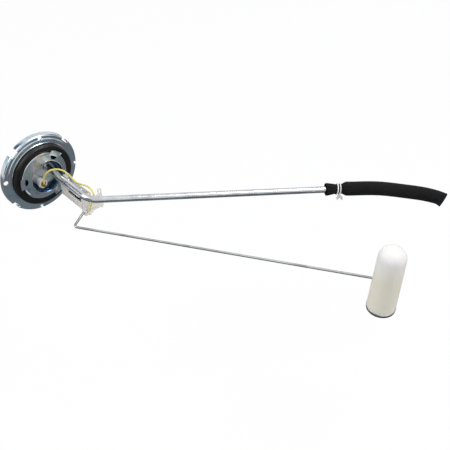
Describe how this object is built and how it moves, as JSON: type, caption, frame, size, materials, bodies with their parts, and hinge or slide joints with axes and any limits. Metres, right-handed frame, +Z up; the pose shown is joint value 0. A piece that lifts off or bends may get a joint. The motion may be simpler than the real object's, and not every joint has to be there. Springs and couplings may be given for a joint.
{
  "type": "fuel sending unit",
  "caption": "Side-mounted tank sender: round plate with lock ring and seal, bent pickup tube with strainer sock, resistor housing, and float on a long wire arm.",
  "frame": {"origin": "on the mounting plate's axis, in the plane of its flange's tank side", "axes": "+X into the tank along the plate's axis, +Z up, the float swinging in upright planes"},
  "size_m": [0.4393, 0.4557, 0.167],
  "materials": {
    "mounting_plate": "bright zinc plating, bluish, over smooth pressed sheet",
    "lock_ring": "clear zinc plating, slightly iridescent",
    "seal_ring": "smooth black rubber",
    "pickup_tube": "tinned steel tube, bright, lengthwise sheen",
    "tube_braze": "dull brazing metal",
    "terminal_insulator": "off-white moulding",
    "insulator_washer": "off-white fibre washer",
    "terminal_stud": "turned brass",
    "terminal_nut": "turned brass",
    "lead_eye": "pressed brass, tarnished orange",
    "lead_wire": "yellow insulation",
    "lead_clip": "pressed brass",
    "sender_bracket": "zinc-plated sheet, satin grey",
    "housing_rivets": "headed aluminium rivets",
    "rheostat_housing": "natural translucent moulding",
    "housing_lid": "natural translucent moulding",
    "pivot_bush": "turned bronze",
    "resistor_card": "dark green insulating card",
    "resistor_winding": "dark resistance wire",
    "pivot_hub": "white acetal",
    "wiper_strip": "spring bronze",
    "wiper_contact": "contact button",
    "float_arm": "drawn steel wire, satin",
    "float_body": "milky moulded plastic",
    "float_cap": "thin pressed steel",
    "strainer_sock": "fine black woven strainer cloth",
    "sock_tie": "white waxed cord"
  },
  "bodies": {
    "head": {"mounting_plate": "mounting_plate", "seal_ring": "seal_ring", "pickup_tube": "pickup_tube", "tube_braze": "tube_braze", "terminal_insulator": "terminal_insulator", "insulator_washer": "insulator_washer", "terminal_stud": "terminal_stud", "terminal_nut": "terminal_nut", "lead_eye": "lead_eye", "lead_wire": "lead_wire", "lead_clip": "lead_clip", "sender_bracket": "sender_bracket", "housing_rivets": "housing_rivets", "rheostat_housing": "rheostat_housing", "housing_lid": "housing_lid", "pivot_bush": "pivot_bush", "resistor_card": "resistor_card", "resistor_winding": "resistor_winding", "strainer_sock": "strainer_sock", "sock_tie": "sock_tie"},
    "ring": {"lock_ring": "lock_ring"},
    "arm": {"float_arm": "float_arm", "pivot_hub": "pivot_hub", "wiper_strip": "wiper_strip", "wiper_contact": "wiper_contact"},
    "float": {"float_body": "float_body", "float_cap": "float_cap"}
  },
  "joints": [
    {"name": "ring_turn", "type": "hinge", "parent": "head", "child": "ring", "pos_m": [0, 0, 0], "axis": [1, 0, 0], "range_deg": [0, 30]},
    {"name": "arm_swing", "type": "hinge", "parent": "head", "child": "arm", "pos_m": [0.066, 0.027, -0.032], "axis": [0, -1, 0], "range_deg": [-25, 35]},
    {"name": "float_swivel", "type": "hinge", "parent": "arm", "child": "float", "pos_m": [0.37798, 0.21994, -0.06918], "axis": [0.7934, 0.6022, -0.0889], "continuous": true}
  ]
}
